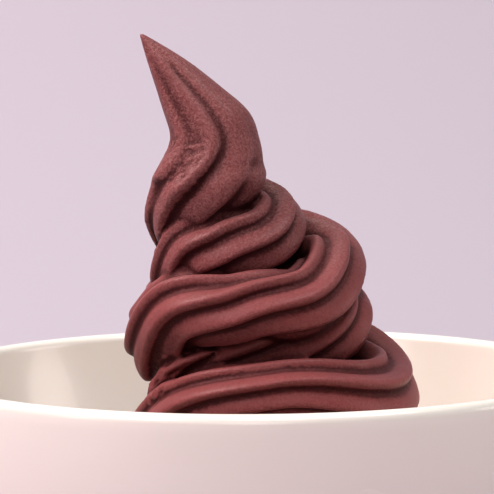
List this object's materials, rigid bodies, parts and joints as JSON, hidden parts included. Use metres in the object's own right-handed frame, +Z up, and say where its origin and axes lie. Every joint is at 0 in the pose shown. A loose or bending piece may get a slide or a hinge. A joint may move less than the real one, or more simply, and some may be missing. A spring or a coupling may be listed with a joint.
{
  "type": "acai soft serve bowl",
  "caption": "Tall ridged swirl of acai soft serve with a leaning peak, standing in a plain round glazed bowl on a low foot ring.",
  "frame": {"origin": "centre of the bowl's foot ring, on the surface it stands on", "axes": "+Z up along the bowl's axis; -Y is the side the picture shows, and the swirl's peak leans to -X"},
  "size_m": [0.165, 0.165, 0.1509],
  "materials": {
    "bowl_glaze": "gloss",
    "acai": "matte"
  },
  "bodies": {
    "root": {"bowl": "bowl_glaze", "soft_serve": "acai"}
  },
  "joints": []
}
